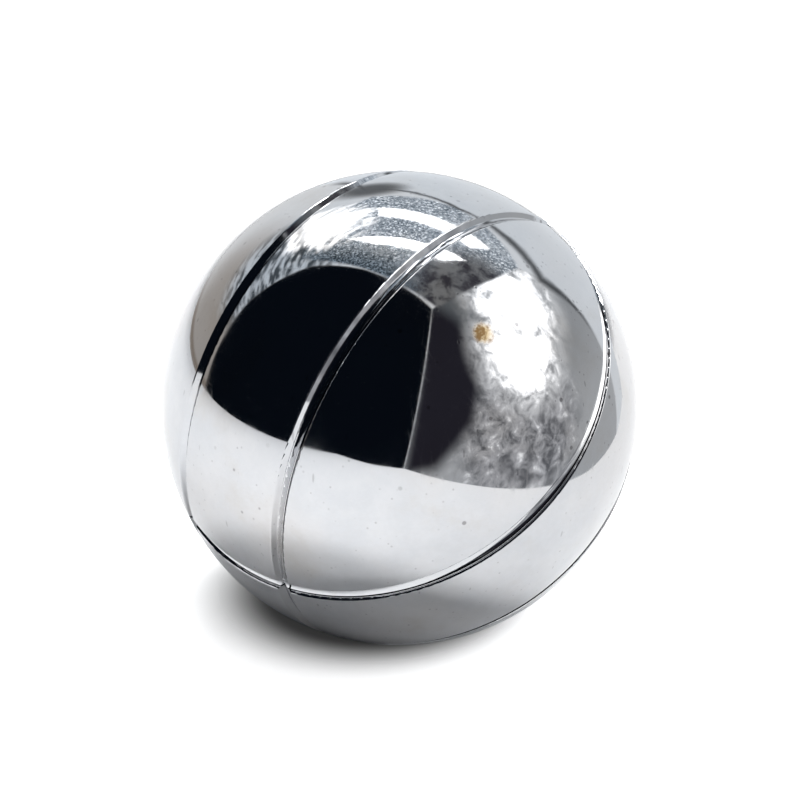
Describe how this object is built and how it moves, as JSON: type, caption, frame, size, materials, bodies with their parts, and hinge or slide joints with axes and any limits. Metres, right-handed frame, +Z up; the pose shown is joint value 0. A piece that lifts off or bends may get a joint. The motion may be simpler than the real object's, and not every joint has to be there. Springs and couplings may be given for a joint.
{
  "type": "sliding maze ball puzzle",
  "caption": "Polished chrome metal ball cut into bars that slide along one axis, with hidden maze tracks, guide pins, link studs and spring detents.",
  "frame": {"origin": "centre of the ball", "axes": "+Z up as the ball rests on a table, -Z towards its resting spot; the bars slide along an axis that slopes up about 41 degrees towards +X and +Y"},
  "size_m": [0.06, 0.06, 0.06],
  "materials": {
    "plated_shell": "polished bright chrome plating with fine handling scratches and pits",
    "pin_steel": "ground steel dowel",
    "stud_steel": "turned steel with fine lathe marks",
    "ball_steel": "polished bearing ball",
    "spring_wire": "drawn spring wire"
  },
  "bodies": {
    "south_bar": {"south_segment": "plated_shell", "south_stud_west": "stud_steel", "south_stud_east": "stud_steel"},
    "core": {"core_bar": "plated_shell"},
    "maze_ball": {"maze_ball": "ball_steel"},
    "north_bar": {"north_segment": "plated_shell", "north_guide_pin": "pin_steel", "north_stud_west": "stud_steel", "north_stud_east": "stud_steel"},
    "west_bar": {"west_segment": "plated_shell", "west_guide_pin": "pin_steel", "west_stud_north": "stud_steel", "west_stud_south": "stud_steel"},
    "east_bar": {"east_segment": "plated_shell", "east_guide_pin": "pin_steel", "east_stud_north": "stud_steel", "east_stud_south": "stud_steel"},
    "northwest_bar": {"northwest_segment": "plated_shell", "northwest_detent_spring": "spring_wire"},
    "northwest_detent": {"northwest_detent_ball": "ball_steel"},
    "northeast_bar": {"northeast_segment": "plated_shell", "northeast_detent_spring": "spring_wire"},
    "northeast_detent": {"northeast_detent_ball": "ball_steel"},
    "southwest_bar": {"southwest_segment": "plated_shell", "southwest_detent_spring": "spring_wire"},
    "southwest_detent": {"southwest_detent_ball": "ball_steel"},
    "southeast_bar": {"southeast_segment": "plated_shell", "southeast_detent_spring": "spring_wire"},
    "southeast_detent": {"southeast_detent_ball": "ball_steel"}
  },
  "joints": [
    {"name": "core_slide", "type": "slide", "parent": "south_bar", "child": "core", "axis": [0.5924, 0.4739, 0.6516], "range_m": [-0.014, 0.014]},
    {"name": "north_bar_slide", "type": "slide", "parent": "south_bar", "child": "north_bar", "axis": [0.5924, 0.4739, 0.6516], "range_m": [-0.004, 0.004]},
    {"name": "west_bar_slide", "type": "slide", "parent": "south_bar", "child": "west_bar", "axis": [0.5924, 0.4739, 0.6516], "range_m": [-0.004, 0.004]},
    {"name": "east_bar_slide", "type": "slide", "parent": "south_bar", "child": "east_bar", "axis": [0.5924, 0.4739, 0.6516], "range_m": [-0.004, 0.004]},
    {"name": "northwest_bar_slide", "type": "slide", "parent": "south_bar", "child": "northwest_bar", "axis": [0.5924, 0.4739, 0.6516], "range_m": [-0.006, 0.006]},
    {"name": "northeast_bar_slide", "type": "slide", "parent": "south_bar", "child": "northeast_bar", "axis": [0.5924, 0.4739, 0.6516], "range_m": [-0.006, 0.006]},
    {"name": "southwest_bar_slide", "type": "slide", "parent": "south_bar", "child": "southwest_bar", "axis": [0.5924, 0.4739, 0.6516], "range_m": [-0.006, 0.006]},
    {"name": "southeast_bar_slide", "type": "slide", "parent": "south_bar", "child": "southeast_bar", "axis": [0.5924, 0.4739, 0.6516], "range_m": [-0.006, 0.006]},
    {"name": "maze_ball_roll", "type": "slide", "parent": "south_bar", "child": "maze_ball", "axis": [0.7382, -0.6433, -0.2032], "range_m": [-0.0035, 0.0035]},
    {"name": "northwest_detent_press", "type": "slide", "parent": "northwest_bar", "child": "northwest_detent", "axis": [-0.7382, 0.6433, 0.2032], "range_m": [0, 0.0005], "stiffness_N_per_m": 600, "springref_m": -0.001, "deforming": ["northwest_detent_spring"]},
    {"name": "northeast_detent_press", "type": "slide", "parent": "northeast_bar", "child": "northeast_detent", "axis": [0.7382, -0.6433, -0.2032], "range_m": [0, 0.0005], "stiffness_N_per_m": 600, "springref_m": -0.001, "deforming": ["northeast_detent_spring"]},
    {"name": "southwest_detent_press", "type": "slide", "parent": "southwest_bar", "child": "southwest_detent", "axis": [-0.7382, 0.6433, 0.2032], "range_m": [0, 0.0005], "stiffness_N_per_m": 600, "springref_m": -0.001, "deforming": ["southwest_detent_spring"]},
    {"name": "southeast_detent_press", "type": "slide", "parent": "southeast_bar", "child": "southeast_detent", "axis": [0.7382, -0.6433, -0.2032], "range_m": [0, 0.0005], "stiffness_N_per_m": 600, "springref_m": -0.001, "deforming": ["southeast_detent_spring"]}
  ],
  "couplings": [
    {"joint": "maze_ball_roll", "follows": "core_slide", "ratio": 0.25}
  ]
}
